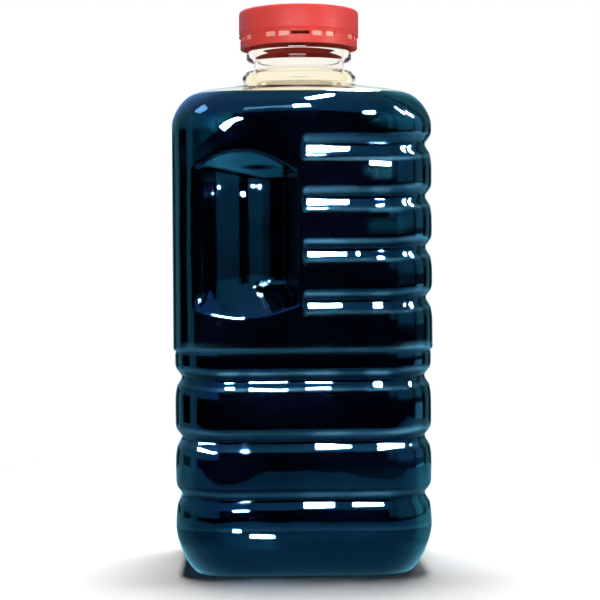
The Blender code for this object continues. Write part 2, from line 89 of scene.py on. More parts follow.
def ramp(source, low, high, at_low, at_high):
    """A value that goes smoothly from at_low to at_high as the source goes from low to high."""
    node = nodes.new("ShaderNodeMapRange")
    node.interpolation_type = "SMOOTHSTEP"
    for socket, value in (("From Min", low), ("From Max", high), ("To Min", at_low), ("To Max", at_high)):
        node.inputs[socket].default_value = value
    links.new(source, node.inputs["Value"])
    return node.outputs["Result"]


def times(first, second, operation="MULTIPLY"):
    """The product of two values, or what another operation makes of them."""
    node = nodes.new("ShaderNodeMath")
    node.operation = operation
    links.new(first, node.inputs[0])
    links.new(second, node.inputs[1])
    return node.outputs["Value"]


def number(value):
    """One value as a node."""
    node = nodes.new("ShaderNodeValue")
    node.outputs[0].default_value = value
    return node.outputs[0]


def background(strength, colour=(1.0, 1.0, 1.0)):
    """Light from the surround, in a colour or in what a node gives."""
    node = nodes.new("ShaderNodeBackground")
    if isinstance(colour, tuple):
        node.inputs["Color"].default_value = (*colour, 1.0)
    else:
        links.new(colour, node.inputs["Color"])
    if isinstance(strength, float):
        node.inputs["Strength"].default_value = strength
    else:
        links.new(strength, node.inputs["Strength"])
    return node.outputs["Background"]


def mix(share, first, second):
    """The second of two shaders where the share is one, and the first where it is nothing."""
    node = nodes.new("ShaderNodeMixShader")
    links.new(share, node.inputs[0])
    links.new(first, node.inputs[1])
    links.new(second, node.inputs[2])
    return node.outputs["Shader"]


def band(source, start, stop, blur, strength=1.0):
    """A value that is full from start to stop and fades to nothing outside."""
    rise = ramp(source, start - blur, start + blur, 0.0, strength)
    return times(rise, ramp(source, stop - blur, stop + blur, 1.0, 0.0))


def highest(*values):
    """The highest of some values."""
    found = values[0]
    for value in values[1:]:
        found = times(found, value, "MAXIMUM")
    return found


toward = nodes.new("ShaderNodeSeparateXYZ")
links.new(nodes.new("ShaderNodeTexCoord").outputs["Generated"], toward.inputs[0])
east, north, up = toward.outputs
south = times(north, number(-1.0))
azimuth = times(east, south, "ARCTAN2")
DEGREE = math.radians(1.0)
# Bright upright bands of the mirrored room. The azimuth is nothing towards the photo's side.
low_window = ramp(up, -0.055, -0.040, 2.6, 0.2)
windows_seen = highest(
    band(azimuth, -87 * DEGREE, -68 * DEGREE, 3 * DEGREE, 1.2),
    band(azimuth, -136 * DEGREE, -114 * DEGREE, 4 * DEGREE, 0.7),
    band(azimuth, -147 * DEGREE, -137 * DEGREE, 1 * DEGREE, 0.1),
    times(band(azimuth, 30 * DEGREE, 74 * DEGREE, 5 * DEGREE), ramp(up, -0.035, 0.075, 0.0, 1.25)),
    times(band(azimuth, -100 * DEGREE, -20 * DEGREE, 8 * DEGREE), ramp(up, 0.074, 0.088, 0.0, 0.7)),
    times(
        band(azimuth, 80 * DEGREE, 105 * DEGREE, 3 * DEGREE),
        highest(low_window, ramp(up, 0.0, 0.03, 0.0, 1.2)),
    ),
    band(azimuth, 119 * DEGREE, 137 * DEGREE, 4 * DEGREE, 0.5),
    ramp(azimuth, -158 * DEGREE, -148 * DEGREE, 0.35, 0.015),
    ramp(azimuth, 148 * DEGREE, 158 * DEGREE, 0.015, 0.35),
)
in_front = times(band(azimuth, -12 * DEGREE, 12 * DEGREE, 4 * DEGREE), ramp(up, 0.56, 0.68, 1.0, 0.0))
behind = ramp(north, -0.15, 0.25, 1.0, 0.6)
ceiling_seen = times(ramp(up, 0.06, 0.12, 0.0, 1.0), ramp(in_front, 0.0, 1.0, 1.0, 0.0))
side_to_side = times(ramp(east, -0.8, -0.3, 0.75, 1.0), ramp(east, -0.1, 0.5, 1.75, 0.5))
sky = times(ceiling_seen, side_to_side)
room = nodes.new("ShaderNodeCombineXYZ")
links.new(number(0.22), room.inputs["X"])
room_green = highest(
    ramp(east, -0.75, -0.45, 0.78, 0.46),
    ramp(east, -0.25, 0.15, 0.46, 0.80),
    ramp(up, 0.09, 0.13, 0.80, 0.0),
)
links.new(room_green, room.inputs["Y"])
links.new(number(1.0), room.inputs["Z"])
mirrored = background(highest(windows_seen, times(sky, behind)), room.outputs["Vector"])
fill_light = background(0.02, (1.0, 0.99, 0.97))
path = nodes.new("ShaderNodeLightPath")
seen = times(path.outputs["Is Camera Ray"], path.outputs["Is Transmission Ray"], "MAXIMUM")
by_bounce = mix(path.outputs["Is Glossy Ray"], fill_light, mirrored)
world_out = nodes.new("ShaderNodeOutputWorld")
links.new(mix(seen, by_bounce, background(1.0)), world_out.inputs["Surface"])

# In reflections the table is a plain blue green glow, without the bottle's shadow on it. It ends
# at the edge of the foot, which is a square with rounded corners.
nodes, links = white.node_tree.nodes, white.node_tree.links
white.cycles.emission_sampling = "NONE"
on_table = nodes.new("ShaderNodeSeparateXYZ")
links.new(nodes.new("ShaderNodeTexCoord").outputs["Object"], on_table.inputs[0])
mirrored_table = nodes.new("ShaderNodeEmission")
mirrored_table.inputs["Color"].default_value = (0.23, 0.75, 1.0, 1.0)
FOOT_CORNER_AT = 0.0285
from_foot = on_table.inputs[0].links[0].from_socket
for operation, value in (("ABSOLUTE", 0.0), ("SUBTRACT", FOOT_CORNER_AT), ("MAXIMUM", 0.0), ("LENGTH", 0.0)):
    step = nodes.new("ShaderNodeVectorMath")
    step.operation = operation
    links.new(from_foot, step.inputs[0])
    step.inputs[1].default_value = (value, value, value)
    from_foot = step.outputs["Value" if operation == "LENGTH" else "Vector"]
at_foot = times(ramp(from_foot, 0.0150, 0.0165, 0.0, 1.0), ramp(from_foot, 0.034, 0.046, 1.0, 0.5))
near_foot = highest(at_foot, ramp(from_foot, 0.085, 0.145, 0.0, 1.0))
far_back = ramp(on_table.outputs["Y"], -0.02, 0.12, 1.0, 0.6)
glow = times(times(near_foot, far_back), ramp(on_table.outputs["Y"], -0.38, -0.30, 0.75, 1.20))
links.new(glow, mirrored_table.inputs["Strength"])
table_path = nodes.new("ShaderNodeLightPath")
table_look = mix(
    table_path.outputs["Is Glossy Ray"], white_shader.outputs["BSDF"], mirrored_table.outputs["Emission"]
)
links.new(table_look, nodes["Material Output"].inputs["Surface"])


shiny_pieces = bpy.data.collections.new("shiny_pieces")
red_pieces = bpy.data.collections.new("red_pieces")


def lamp(
    name, place, aim, width, length, radiance, only=None, colour=(1.0, 1.0, 1.0), roll=0.0, spread=180.0
):
    """A rectangular lamp of that radiance. For the shiny pieces alone it is a glint and no light."""
    light = bpy.data.lights.new(name, "AREA")
    light.shape = "RECTANGLE"
    light.size = width
    light.size_y = length
    light.spread = math.radians(spread)
    light.energy = radiance * width * length * math.pi
    light.color = colour
    made = bpy.data.objects.new(name, light)
    made.location = place
    made.rotation_mode = "QUATERNION"
    facing = (Vector(aim) - Vector(place)).to_track_quat("-Z", "Y")
    made.rotation_quaternion = facing @ Quaternion((0.0, 0.0, 1.0), math.radians(roll))
    made.visible_camera = False
    made.visible_transmission = False
    made.visible_diffuse = only is not shiny_pieces
    made.visible_glossy = only is not None
    if only is not None:
        made.light_linking.receiver_collection = only
    bpy.context.scene.collection.objects.link(made)


lamp("key", (0.0, 0.215, 1.10), (0.0, 0.215, 0.0), 0.45, 0.45, 29.0)
lamp("soft_front", (-0.15, -0.90, 0.26), (0.0, 0.0, 0.23), 0.8, 0.3, 8.6, red_pieces)
lamp("soft_right", (0.85, -0.45, 0.23), (0.0, 0.0, 0.23), 0.3, 0.3, 15.0, red_pieces)
# Lamps a metre off for long glints: the way to each as degrees to the side, the place it is aimed
# at, its width, and its lower and upper edge in degrees.
WALL_FRONT = -0.0535
for name, turn, x, width, low, high in (
    ("glint_corner_near", 66.0, 0.035, 0.090, 44.0, 62.0),
    ("glint_corner_far", 84.0, 0.035, 0.090, 34.0, 50.0),
    ("glint_back", 170.0, -0.020, 0.140, 40.0, 62.0),
):
    middle, turn = math.radians((low + high) / 2.0), math.radians(turn)
    foot = (x, WALL_FRONT, 0.15)
    reach = math.cos(middle)
    spot = (x + reach * math.sin(turn), WALL_FRONT - reach * math.cos(turn), 0.15 + math.sin(middle))
    lamp(name, spot, foot, width, math.radians(high - low), 900.0, shiny_pieces)
# Small lamps close to the wall, each for one glint: the spot that shows it, the way to the lamp as
# degrees to the side and up, and the lamp's width, height and roll. Lengths are in millimetres.
GLINT_DISTANCE, GLINT_RADIANCE = 0.015, 300.0
for x, y, z, side, rise, width, height, roll in (
    (9.3, -51.4, 174.5, 5, 57, 18.5, 2.2, 0),
    (5.6, -52.9, 171.6, 3, 41, 7.0, 1.6, 0),
    (32.0, -53.5, 168.3, 6, 9, 12.0, 3.2, -8),
    (9.1, -51.8, 152.9, 5, 57, 18.5, 3.0, 0),
    (6.0, -52.9, 149.8, 3, 40, 8.0, 1.4, 0),
    (31.0, -52.2, 151.2, 8, 50, 3.6, 3.4, 0),
    (8.5, -52.0, 131.3, 5, 57, 17.5, 2.6, 0),
    (21.7, -51.9, 131.2, 7, 57, 1.4, 2.0, 0),
    (31.0, -52.7, 129.2, 8, 50, 3.0, 3.2, 0),
    (8.0, -51.9, 110.1, 4, 56, 15.2, 3.2, 0),
    (29.8, -51.9, 110.0, 7, 54, 3.8, 2.6, 0),
    (-30.0, -50.4, 78.0, -1, 46, 4.0, 2.6, 0),
    (-14.6, -51.9, 76.2, 0, 46, 15.5, 3.4, -5),
    (5.6, -51.9, 77.4, 4, 49, 11.0, 3.0, 0),
    (29.5, -51.1, 78.2, 7, 52, 3.8, 3.0, 0),
    (-39.6, -50.7, 51.6, -48, 40, 20.0, 3.6, 0),
    (-24.3, -51.8, 51.6, 0, 43, 2.8, 2.0, 0),
    (9.0, -51.2, 53.0, 4, 52, 9.9, 2.4, 0),
    (16.4, -50.9, 53.4, 5, 55, 6.2, 2.2, 0),
    (36.8, -50.8, 53.8, 24, 52, 22.0, 4.0, 0),
    (-25.7, -52.1, 27.2, 0, 38, 6.4, 2.2, 0),
    (5.4, -51.3, 28.7, 4, 50, 12.6, 2.4, 0),
    (25.5, -51.1, 29.5, 6, 53, 12.6, 2.8, 0),
    (-27.3, -52.9, 19.4, 0, -8, 3.2, 1.5, 0),
    (-17.4, -52.8, 15.4, 0, -16, 10.0, 3.4, -4),
    (-36.2, -49.5, 155.8, -2, 3, 0.9, 1.6, 0),
    (-33.6, -48.9, 158.9, 54, 3, 2.6, 1.6, 0),
    (-24.0, -44.0, 156.0, 11, 3, 0.7, 1.5, 0),
    (-20.1, -42.8, 159.4, 50, 3, 0.9, 1.6, 0),
    (-21.0, -44.2, 119.6, 42, 42, 0.3, 0.3, 0),
    (-32.0, -53.4, 106.5, 0, 36, 15.0, 6.0, 0),
    (-42.8, -50.6, 112.6, 2, 16, 0.8, 0.6, 0),
    (7.1, -49.8, 195.2, 31, 84, 12.6, 3.4, 0),
    (-0.3, -52.2, 191.4, 3, 53, 7.0, 3.4, 0),
    (26.9, -53.0, 188.6, 7, 40, 5.2, 2.4, 0),
    (-28.8, -53.5, 184.4, -1, 12, 3.3, 12.0, -38),
):
    side, rise = math.radians(side), math.radians(rise)
    way = Vector((math.sin(side) * math.cos(rise), -math.cos(side) * math.cos(rise), math.sin(rise)))
    seen_at = Vector((x, y, z)) * MM
    in_pocket = x < -17.0 and 110.0 < z < 165.0
    on_right_shoulder = x > 20.0 and z > 180.0
    lamp(
        "glint",
        seen_at + way * GLINT_DISTANCE,
        seen_at,
        width * MM,
        height * MM,
        GLINT_RADIANCE,
        shiny_pieces,
        roll=roll,
        spread=25.0 if in_pocket or on_right_shoulder else 60.0,
    )
blob_at = Vector((-0.0407, -0.0503, 0.1899))
blob_lamp_at = blob_at + Vector((-0.54, -0.05, 0.84)) * GLINT_DISTANCE
BLUE = (0.4, 0.7, 1.0)
lamp("glint_blue", blob_lamp_at, blob_at, 0.009, 0.008, 2.5, shiny_pieces, colour=BLUE, spread=70.0)
streak_at, streak_lamp_at = (-0.0115, -0.0522, 0.1905), (-0.0115, -0.0615, 0.2022)
lamp("glint_faint", streak_lamp_at, streak_at, 0.026, 0.0026, 1.2, shiny_pieces, roll=3.0, spread=70.0)


# Bottle. Clear blown PET, about 0.9 mm thick: the same wall as the solid's, laid out finely, with
# rounded edges on its grooves, flutes and steps. It is one shell from the underside to the lip
# and back down inside.
def smooth(value):
    """Goes softly from nothing to one as the value does."""
    value = np.clip(value, 0.0, 1.0)
    return value * value * (3.0 - 2.0 * value)


def soft_min(first, second, blend):
    """The lower of two values, with the corner between them rounded off."""
    overlap = np.maximum(blend - np.abs(first - second), 0.0) / blend
    return np.minimum(first, second) - overlap * overlap * blend / 4.0


def soft_max(first, second, blend):
    return -soft_min(-first, -second, blend)


# Sizes in millimetres: half widths and corners of the square, heights of the grooves' middles.
UPPER_HALF, LOWER_HALF, CORNER = 53.6, 52.9, 20.0
WALL = 0.9
HEEL_TOP, FOOT_OUTER, FOOT_INNER, FOOT_CORNER = 19.5, 43.5, 37.0, 15.0
RIBS = (175.4, 153.9, 132.9, 112.2)
RINGS = (80.0, 55.1, 31.5)
WAIST_LOW, WAIST, WAIST_HIGH = 91.2, 92.2, 93.5
SHOULDER, SHOULDER_RADIUS, SWEEP = 184.6, 17.0, math.radians(76.8)
ROUNDING, COLLAR_FOOT, COLLAR_FOOT_RADIUS = 197.6, 205.2, 23.2
LEVEL = 198.0
POCKET_BACK, POCKET_FRONT, POCKET_DEEPEST = -44.5, -2.2, 13.8

# The pocket's fluted floor: how deep it is at each x.
floor_x = np.linspace(-50.0, 2.0, 521)
floor_steps = np.interp(
    floor_x,
    (POCKET_BACK, -41.0, -35.0, -26.3, -22.0, -17.6, -12.5, POCKET_FRONT),
    (0.0, 3.4, 4.2, 9.4, 9.8, 12.0, 13.4, POCKET_DEEPEST),
)
kernel = np.hanning(25)
floor_smooth = np.convolve(np.pad(floor_steps, 12, "edge"), kernel / kernel.sum(), "valid")


def pocket_lines(x):
    """Heights of the pocket's foot, ledge, ceiling and top at each x."""
    arch = 10.5 * ((x + 25.0) / 23.8) ** 2
    top = 173.6 - arch
    ceiling = np.interp(x, (POCKET_BACK, -32.8, -15.6, POCKET_FRONT), (168.6, 167.0, 163.9, 164.3))
    ceiling = np.minimum(ceiling, top - 1.2)
    ledge_x = (POCKET_BACK, -40.0, -30.0, -20.0, POCKET_FRONT)
    ledge = np.interp(x, ledge_x, (112.0, 114.0, 118.3, 120.7, 120.0))
    return 105.6 + 0.55 * arch, ledge, ceiling, top


def pocket_depth(x, z):
    """How far the pocket sinks the wall."""
    foot, ledge, ceiling, top = pocket_lines(x)
    floor = np.interp(x, floor_x, floor_smooth)
    depth = soft_min(floor, (POCKET_FRONT - x) * POCKET_DEEPEST / 5.0, 2.0)
    depth = soft_min(depth, floor * (top - z) / (top - ceiling), 2.0)
    depth = soft_min(depth, floor * (z - foot) / (ledge - foot), 2.0)
    blend = 0.5
    lift = 0.125 * (np.abs(depth) < blend) * (1.0 - np.abs(depth) / blend) ** 2
    depth = soft_max(depth, np.zeros_like(depth), blend) - lift
    return np.where((x > -46.0) & (x < -1.8), np.maximum(depth, 0.0), 0.0)


def row_bend(x, z):
    """Moves the rows of points so that they run along the pocket's ceiling and ledge."""
    inside = smooth((x + 51.0) / 10.0) * smooth((-0.9 - x) / 1.3)
    foot, ledge, ceiling, top = pocket_lines(np.clip(x, POCKET_BACK, POCKET_FRONT))
    straight = (97.0, 105.6, 119.5, 165.0, 173.6, 182.0)
    bent = (97.0 + 0.0 * x, foot, ledge, ceiling, top, 182.0 + 0.0 * x)
    found = z.copy()
    for low, high, low_z, high_z in zip(straight, straight[1:], bent, bent[1:]):
        part = (z >= low) & (z < high)
        found = np.where(part, low_z + (high_z - low_z) * (z - low) / (high - low), found)
    return (found - z) * inside


groove_up = np.linspace(-6.0, 12.0, 901)
round_off = np.hanning(51)


def groove_table(heights, depths):
    """A groove's depth over its height, with rounded edges."""
    depth = np.interp(groove_up, heights, depths)
    return np.convolve(np.pad(depth, 25, "edge"), round_off / round_off.sum(), "valid")


groove_on_side = groove_table(
    (-4.0, -1.5, 0.5, 1.8, 4.5, 5.6, 9.0, 10.2), (0.0, 0.15, 0.60, 1.15, 2.65, 2.65, 0.12, 0.0)
)
groove_on_front = groove_table((-5.0, -3.0, 0.0, 3.2, 5.9, 9.0, 11.0), (0.0, 0.12, 0.65, 2.6, 2.6, 0.35, 0.0))


def groove_press(z, middles):
    """How far the grooves sink the wall at each height: less on the side faces than round the front."""
    press = 0.0
    for middle in middles:
        above_edge = z - (middle - 4.6)
        side = np.interp(above_edge, groove_up, groove_on_side)
        front = np.interp(above_edge, groove_up, groove_on_front)
        press = press + side + (front - side) * on_side[None]
    return press


# The grooves lie a little higher on the front and back faces than on the sides.
lift_z, lift_mm = [0.0, HEEL_TOP], [0.0, 0.0]
for middle in sorted(RINGS + RIBS):
    if middle == RIBS[-1]:
        lift_z += [WAIST_LOW, WAIST_HIGH]
        lift_mm += [0.0, 0.0]
    lift_z += [middle - 4.6, middle - 1.4, middle + 1.9, middle + 4.6]
    lift_mm += [2.3, 2.3, 0.8, 0.8]
lift_z += [SHOULDER, 300.0]
lift_mm += [0.0, 0.0]

# Columns of points round the outline: places on the square as shares of its flat half width, and
# the outline's normals. They are closest together at the pocket's front edge and the ribs' ends.
side_x = np.concatenate(
    [
        np.linspace(33.6, 3.4, 12)[1:],
        np.linspace(3.0, -2.2, 10),
        np.linspace(-2.6, -8.0, 14),
        np.linspace(-8.9, -33.0, 27),
    ]
)
half_columns = []
for share in np.linspace(0.0, -1.0, 8)[:-1]:
    half_columns.append((1.0, share, 1.0, 0.0))
for angle in np.linspace(0.0, math.pi / 2.0, 17):
    half_columns.append((1.0, -1.0, math.cos(angle), -math.sin(angle)))
for x in side_x:
    half_columns.append((x / (UPPER_HALF - CORNER), -1.0, 0.0, -1.0))
for angle in np.linspace(0.0, math.pi / 2.0, 23):
    half_columns.append((-1.0, -1.0, -math.sin(angle), -math.cos(angle)))
for share in np.linspace(-1.0, 0.0, 8)[1:]:
    half_columns.append((-1.0, share, -1.0, 0.0))
half_columns = np.array(half_columns)
columns = np.concatenate([half_columns, half_columns[-2:0:-1] * (1.0, -1.0, 1.0, -1.0)])
centre, normal = columns[:, :2], columns[:, 2:]
outline = centre * (UPPER_HALF - CORNER) + normal * CORNER
around = outline / np.linalg.norm(outline, axis=1)[:, None]
corner_side = 1.0 - np.abs(np.abs(normal[:, 0]) - np.abs(normal[:, 1]))
on_side = smooth(np.arcsin(np.clip(np.abs(normal[:, 0]), 0.0, 1.0)) / (math.pi / 2.0))


def wall(rows, inset):
    """Points of the wall, one row for each of half width, height, corner, and the outline's normal."""
    half, z0, corner, out, up = (np.array(part)[:, None] for part in zip(*rows))
    flat = (half - corner)[:, :, None] * centre[None]
    place = flat + corner[:, :, None] * normal[None]
    z = z0 + np.interp(z0, lift_z, lift_mm) * on_side[None]
    x = place[:, :, 0]
    press = groove_press(z0, RINGS) + groove_press(z0, RIBS) * smooth((x + 0.9) / 2.9)
    press = press + 0.5 * np.clip(1.0 - np.abs(z0 - 91.9) / 0.7, 0.0, 1.0)
    sideways = np.abs(normal[:, 1])[None]
    on_wall = (sideways > 1e-6) & (z > WAIST_HIGH) & (z < SHOULDER)
    z = z + np.where(on_wall, row_bend(x, z), 0.0)
    press = press + np.where(on_wall, pocket_depth(x, z), 0.0) * sideways
    domed = smooth((z0 - SHOULDER) / 9.0) * smooth((COLLAR_FOOT - z0) / 6.0)
    from_middle = np.clip(np.abs(centre).min(axis=1)[None] + 0.3 * corner_side[None], 0.0, 1.3)
    press = press + 0.6 * domed * from_middle**2
    place = place - normal[None] * press[:, :, None]
    turned = smooth((z0 - ROUNDING) / (COLLAR_FOOT - ROUNDING))[:, :, None]
    place = place * (1.0 - turned) + around[None] * half[:, :, None] * turned
    facing = normal[None] * (1.0 - turned) + around[None] * turned
    facing = facing / np.linalg.norm(facing, axis=2)[:, :, None]
    place = place - facing * inset * out[:, :, None]
    return np.dstack([place, z - inset * up])


def turned_rows(profile):
    """Points of a round part, one row for each radius and height."""
    radius, z = (np.array(part)[:, None] for part in zip(*profile))
    return np.dstack([radius * around[None, :, 0], radius * around[None, :, 1], z + 0.0 * around[None, :, 0]])


def rounded(corners, steps=3):
    """A line through corners given as radius, height and how far each corner is rounded off."""
    found = []
    for place, (r, z, cut) in enumerate(corners):
        if cut == 0.0 or place in (0, len(corners) - 1):
            found.append((r, z))
            continue
        here = np.array((r, z))
        before = np.array(corners[place - 1][:2]) - here
        after = np.array(corners[place + 1][:2]) - here
        start = here + before / np.linalg.norm(before) * cut
        end = here + after / np.linalg.norm(after) * cut
        for share in np.linspace(0.0, 1.0, steps + 1):
            found.append(tuple((1 - share) ** 2 * start + 2 * share * (1 - share) * here + share**2 * end))
    return found


def wall_rows(groove_step, land_step):
    """Rows of the underside, the heel, the wall and the shoulder, close together where it bends."""
    rows = []
    for share in np.linspace(0.15, 1.0, 7):
        rows.append((26.0 * share, 6.0 - 2.0 * share**2, FOOT_CORNER * share, 0.0, -1.0))
    for share in np.linspace(0.0, 1.0, 9)[1:]:
        half = 26.0 + 11.0 * share
        rows.append((half, 4.0 * (1.0 - smooth(share)), FOOT_CORNER, 0.0, -1.0))
    rows.append((FOOT_OUTER, 0.0, FOOT_CORNER, 0.35, -1.0))
    for angle in np.linspace(0.0, math.pi / 2.0, 15)[1:]:
        spread_out = (1.0 - math.cos(angle) ** 1.5) ** (1.0 / 1.5)
        half = FOOT_OUTER + (LOWER_HALF - FOOT_OUTER) * spread_out
        corner = FOOT_CORNER + (CORNER - FOOT_CORNER) * math.sin(angle)
        z = HEEL_TOP * (1.0 - math.cos(angle))
        rows.append((half, z, corner, math.sin(angle) ** 0.5, -math.cos(angle)))
    stops = [HEEL_TOP, HEEL_TOP + 0.1, HEEL_TOP + 2.1]
    for middle in sorted(RINGS + RIBS):
        if middle != RIBS[0]:
            stops += [middle - 8.0, middle + {RIBS[1]: 21.4, RIBS[3]: 11.0}.get(middle, 6.2)]
        if middle == RINGS[0]:
            stops += [90.6, 94.2]
    stops[-1] = RIBS[0] + 6.2
    stops.append(SHOULDER)
    heights = []
    for place, (low, high) in enumerate(zip(stops, stops[1:])):
        step = groove_step if place % 2 else land_step
        heights += list(np.linspace(low, high, max(2, int(round((high - low) / step)) + 1))[:-1])
    for z in heights[1:]:
        half = LOWER_HALF + (UPPER_HALF - LOWER_HALF) * smooth((z - 91.9) / 1.2)
        rows.append((half, z, CORNER, 1.0, 0.0))
    for angle in np.linspace(0.0, SWEEP, 21):
        half = UPPER_HALF - SHOULDER_RADIUS * (1.0 - math.cos(angle))
        corner = CORNER + 3.0 * math.sin(angle) ** 2
        z = SHOULDER + SHOULDER_RADIUS * math.sin(angle)
        rows.append((half, z, corner, math.cos(angle), math.sin(angle)))
    last = rows[-1]
    for share in np.linspace(0.0, 1.0, 10)[1:]:
        half = last[0] + (COLLAR_FOOT_RADIUS - last[0]) * share
        corner = min(last[2], half)
        rows.append((half, last[1] + (COLLAR_FOOT - last[1]) * share, corner, last[3], last[4]))
    return rows


def grid_mesh(name, points, closed_ends):
    """A smooth shaded mesh through rows of points that run round, closed by a fan at each end."""
    count, around_count = points.shape[:2]
    verts = points.reshape(-1, 3)
    row, column = np.meshgrid(np.arange(count - 1), np.arange(around_count), indexing="ij")
    after = (column + 1) % around_count
    first = row * around_count
    second = first + around_count
    faces = np.stack([first + after, first + column, second + column, second + after], axis=2).reshape(-1, 4)
    hubs = [verts]
    fans = []
    for end, row_start in zip(closed_ends, (0, (count - 1) * around_count)):
        if end is None:
            continue
        hub = len(verts) + len(hubs) - 1
        hubs.append(np.array([[0.0, 0.0, end]]))
        for place in range(around_count):
            pair = (row_start + place, row_start + (place + 1) % around_count)
            fans.append((*pair, hub) if row_start == 0 else (*reversed(pair), hub))
    data = bpy.data.meshes.new(name)
    data.from_pydata((np.concatenate(hubs) * MM).tolist(), [], faces.tolist() + fans)
    data.shade_smooth()
    data.update()
    return data


neck_outline = rounded(
    [(COLLAR_FOOT_RADIUS, COLLAR_FOOT, 0.0)]
    + [
        (21.5 + 2.9 * math.cos(angle), 208.1 + 2.9 * math.sin(angle), 0.0)
        for angle in np.radians(np.linspace(-50.0, 90.0, 13))
    ]
    + [
        (19.3, 211.4, 0.7),
        (19.3, 215.5, 0.8),
        (21.9, 215.9, 0.4),
        (22.6, 216.6, 0.5),
        (22.6, 218.6, 0.5),
        (21.9, 219.3, 0.2),
        (22.0, 222.2, 0.2),
        (23.4, 222.8, 0.4),
        (22.0, 225.0, 0.5),
        (22.0, 226.0, 0.0),
    ]
)
FINISH_RADIUS, THREAD_DEPTH, THREAD_PITCH, THREAD_TURNS = 22.0, 1.1, 4.2, 1.25
finish_rows = [(FINISH_RADIUS, z) for z in np.arange(226.4, 234.4, 0.8)]
lip_outline = rounded([(22.0, 234.5, 0.0), (22.0, 235.2, 0.5), (20.1, 235.2, 0.5), (20.1, 234.0, 0.0)])
bore_outline = rounded(
    [
        (20.1, 228.0, 0.0),
        (20.1, 219.3, 0.8),
        (17.8, 214.9, 0.8),
        (17.8, 211.4, 0.5),
        (21.4, 209.3, 1.0),
        (22.0, 207.1, 0.0),
    ]
)
finish = turned_rows(finish_rows)
turns = (np.arctan2(around[:, 1], around[:, 0]) / (2.0 * math.pi)) % 1.0
rib = np.zeros(finish.shape[:2])
for start in (0, 1):
    turn_here = turns[None] + start
    off = finish[:, :, 2] - (227.4 + THREAD_PITCH * turn_here)
    ends = smooth((THREAD_TURNS - turn_here) / 0.06) * smooth(turn_here / 0.06)
    rib = np.maximum(rib, np.sqrt(np.clip(THREAD_DEPTH**2 - off**2, 0.0, None)) * ends)
finish[:, :, :2] += around[None] * rib[:, :, None]
outer_rows = wall_rows(0.75, 2.8)
inner_rows = wall_rows(3.0, 9.0)
shell = grid_mesh(
    "clear_bottle",
    np.concatenate(
        [
            wall(outer_rows, 0.0),
            turned_rows(neck_outline[1:]),
            finish,
            turned_rows(lip_outline),
            turned_rows(bore_outline),
            wall(inner_rows, WALL)[::-1],
        ]
    ),
    (6.0, 6.0 + WALL),
)
bottle = bpy.data.objects.new("clear_bottle", shell)
bpy.context.scene.collection.objects.link(bottle)
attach(bottle, "root")
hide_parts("bottle")
shiny_pieces.objects.link(bottle)


def new_socket(group, name, kind, in_out, value=None):
    """A socket on the outside of a node group."""
    socket = group.interface.new_socket(name=name, in_out=in_out, socket_type=kind)
    if value is not None:
        socket.default_value = value


# The finish that all the moulded pieces share: slight changes of colour and gloss, and low waves.
moulded = bpy.data.node_groups.new("moulded_finish", "ShaderNodeTree")
for name, kind, value in (
    ("Color", "NodeSocketColor", (0.5, 0.5, 0.5, 1.0)),
    ("Color Change", "NodeSocketFloat", 0.05),
    ("Roughness", "NodeSocketFloat", 0.1),
    ("Roughness Change", "NodeSocketFloat", 0.02),
    ("Grain Scale", "NodeSocketFloat", 400.0),
    ("Grain", "NodeSocketFloat", 0.0),
    ("Wave Scale", "NodeSocketFloat", 30.0),
):
    new_socket(moulded, name, kind, "INPUT", value)
for name, kind in (
    ("Color", "NodeSocketColor"),
    ("Roughness", "NodeSocketFloat"),
    ("Height", "NodeSocketFloat"),
):
    new_socket(moulded, name, kind, "OUTPUT")
nodes, links = moulded.nodes, moulded.links
given = nodes.new("NodeGroupInput").outputs
result = nodes.new("NodeGroupOutput").inputs
spot = nodes.new("ShaderNodeTexCoord").outputs["Object"]


def noise(scale, detail):
    """Cloudy noise between minus one and one."""
    node = nodes.new("ShaderNodeTexNoise")
    node.inputs["Detail"].default_value = detail
    links.new(spot, node.inputs["Vector"])
    links.new(scale, node.inputs["Scale"])
    return ramp(node.outputs["Fac"], 0.3, 0.7, -1.0, 1.0)


waves = noise(given["Wave Scale"], 1.0)
grain = noise(given["Grain Scale"], 3.0)
shade = nodes.new("ShaderNodeHueSaturation")
links.new(given["Color"], shade.inputs["Color"])
change = times(times(waves, given["Color Change"]), number(1.0), "ADD")
links.new(change, shade.inputs["Value"])
links.new(shade.outputs["Color"], result["Color"])
links.new(times(given["Roughness"], times(grain, given["Roughness Change"]), "ADD"), result["Roughness"])
links.new(times(waves, times(grain, given["Grain"]), "ADD"), result["Height"])


def plastic(name, colour, ior, transmission, wave_height, **settings):
    """A plastic in one colour, or in the colours that a node gives, with the moulded finish."""
    global nodes, links
    material = bpy.data.materials.new(name)
    material.use_nodes = True
    nodes, links = material.node_tree.nodes, material.node_tree.links
    shader = nodes["Principled BSDF"]
    shader.inputs["IOR"].default_value = ior
    shader.inputs["Transmission Weight"].default_value = transmission
    surface = nodes.new("ShaderNodeGroup")
    surface.node_tree = moulded
    surface.inputs["Color"].default_value = (*colour, 1.0)
    for socket, value in settings.items():
        surface.inputs[socket.replace("_", " ").title()].default_value = value
    links.new(surface.outputs["Color"], shader.inputs["Base Color"])
    links.new(surface.outputs["Roughness"], shader.inputs["Roughness"])
    bump = nodes.new("ShaderNodeBump")
    bump.inputs["Strength"].default_value = 1.0
    bump.inputs["Distance"].default_value = wave_height
    links.new(surface.outputs["Height"], bump.inputs["Height"])
    links.new(bump.outputs["Normal"], shader.inputs["Normal"])
    return material, shader, surface


